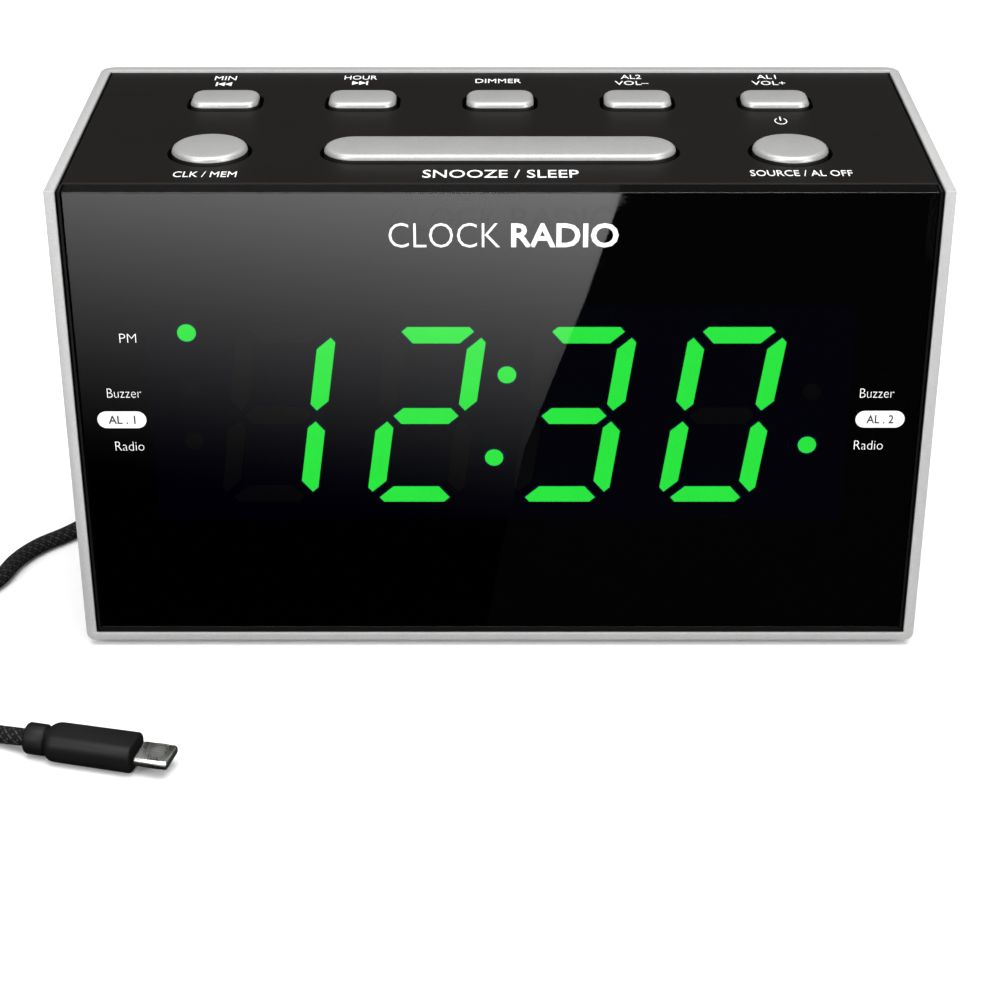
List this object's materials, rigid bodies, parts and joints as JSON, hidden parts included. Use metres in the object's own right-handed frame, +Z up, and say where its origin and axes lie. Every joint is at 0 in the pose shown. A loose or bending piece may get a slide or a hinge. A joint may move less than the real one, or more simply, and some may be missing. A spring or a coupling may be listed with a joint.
{
  "type": "digital clock radio",
  "caption": "Block-shaped digital clock radio with a smoked front lens, lit segment digits, press keys on top and a charging cord plugged into its back.",
  "frame": {"origin": "on the table, under the middle of the case", "axes": "+X to the right as seen from the front, +Y to the back, +Z up"},
  "size_m": [0.1976, 0.1489, 0.0816],
  "materials": {
    "silver_shell": "silver paint on moulded plastic, satin",
    "silver_key": "silver paint on moulded plastic, satin",
    "black_panel": "black moulded plastic, fine satin texture",
    "smoked_lens": "smoked clear acrylic, polished",
    "inner_black": "black moulded plastic",
    "light_guide": "milky clear plastic",
    "circuit_board": "green solder mask on glass-fibre board",
    "plated_steel": "nickel-plated steel",
    "gold_contact": "gold-flashed spring brass",
    "soft_rubber": "black rubber",
    "black_overmould": "black moulded grip, satin",
    "braided_cord": "black braided sleeve with grey flecks",
    "ribbon": "grey flat cable",
    "cell_wrap": "plain dark printed wrap"
  },
  "bodies": {
    "clock_radio": {"cabinet": "silver_shell", "top_panel": "black_panel", "front_bezel": "black_panel", "display_lens": "smoked_lens", "display_reflector": "inner_black", "segment_light_guide": "light_guide", "display_board": "circuit_board", "main_board": "circuit_board", "key_board": "circuit_board", "tuner_shield": "plated_steel", "usb_port": "plated_steel", "usb_plug_shell": "plated_steel", "connector_tip": "plated_steel", "speaker_frame": "plated_steel", "speaker_magnet": "plated_steel", "speaker_cone": "inner_black", "controller_chip": "inner_black", "filter_capacitor": "inner_black", "dc_jack": "inner_black", "aerial_grommet": "soft_rubber", "display_ribbon": "ribbon", "key_ribbon": "ribbon", "battery_cell_1": "cell_wrap", "battery_cell_2": "cell_wrap", "battery_contact_left": "gold_contact", "battery_contact_right": "gold_contact", "usb_plug": "black_overmould", "charge_connector": "black_overmould", "cord_tie": "soft_rubber", "charge_cord_near": "braided_cord", "charge_cord_far": "braided_cord", "charge_cord_coil": "braided_cord", "foot_front_left": "soft_rubber", "foot_front_right": "soft_rubber", "foot_rear_left": "soft_rubber", "foot_rear_right": "soft_rubber", "rear_screw_left": "plated_steel", "bottom_screw_left": "plated_steel", "key_board_screw_left": "plated_steel", "rear_screw_right": "plated_steel", "bottom_screw_right": "plated_steel", "key_board_screw_right": "plated_steel"},
    "minute_button": {"minute_key": "silver_key", "minute_plunger": "inner_black"},
    "hour_button": {"hour_key": "silver_key", "hour_plunger": "inner_black"},
    "dimmer_button": {"dimmer_key": "silver_key", "dimmer_plunger": "inner_black"},
    "volume_down_button": {"volume_down_key": "silver_key", "volume_down_plunger": "inner_black"},
    "volume_up_button": {"volume_up_key": "silver_key", "volume_up_plunger": "inner_black"},
    "clock_memory_button": {"clock_memory_key": "silver_key", "clock_memory_plunger": "inner_black"},
    "snooze_button": {"snooze_key": "silver_key", "snooze_plunger": "inner_black"},
    "source_button": {"source_key": "silver_key", "source_plunger": "inner_black"},
    "battery_lid": {"battery_door": "black_panel"}
  },
  "joints": [
    {"name": "minute_press", "type": "slide", "parent": "clock_radio", "child": "minute_button", "axis": [0, 0, -1], "range_m": [0, 0.0006], "stiffness_N_per_m": 500, "springref_m": -0.001},
    {"name": "hour_press", "type": "slide", "parent": "clock_radio", "child": "hour_button", "axis": [0, 0, -1], "range_m": [0, 0.0006], "stiffness_N_per_m": 500, "springref_m": -0.001},
    {"name": "dimmer_press", "type": "slide", "parent": "clock_radio", "child": "dimmer_button", "axis": [0, 0, -1], "range_m": [0, 0.0006], "stiffness_N_per_m": 500, "springref_m": -0.001},
    {"name": "volume_down_press", "type": "slide", "parent": "clock_radio", "child": "volume_down_button", "axis": [0, 0, -1], "range_m": [0, 0.0006], "stiffness_N_per_m": 500, "springref_m": -0.001},
    {"name": "volume_up_press", "type": "slide", "parent": "clock_radio", "child": "volume_up_button", "axis": [0, 0, -1], "range_m": [0, 0.0006], "stiffness_N_per_m": 500, "springref_m": -0.001},
    {"name": "clock_memory_press", "type": "slide", "parent": "clock_radio", "child": "clock_memory_button", "axis": [0, 0, -1], "range_m": [0, 0.0006], "stiffness_N_per_m": 500, "springref_m": -0.001},
    {"name": "snooze_press", "type": "slide", "parent": "clock_radio", "child": "snooze_button", "axis": [0, 0, -1], "range_m": [0, 0.0006], "stiffness_N_per_m": 500, "springref_m": -0.001},
    {"name": "source_press", "type": "slide", "parent": "clock_radio", "child": "source_button", "axis": [0, 0, -1], "range_m": [0, 0.0006], "stiffness_N_per_m": 500, "springref_m": -0.001},
    {"name": "battery_door_hinge", "type": "hinge", "parent": "clock_radio", "child": "battery_lid", "pos_m": [0.03, 0.0122, 0.0018], "axis": [1, 0, 0], "range_deg": [0, 80]}
  ]
}
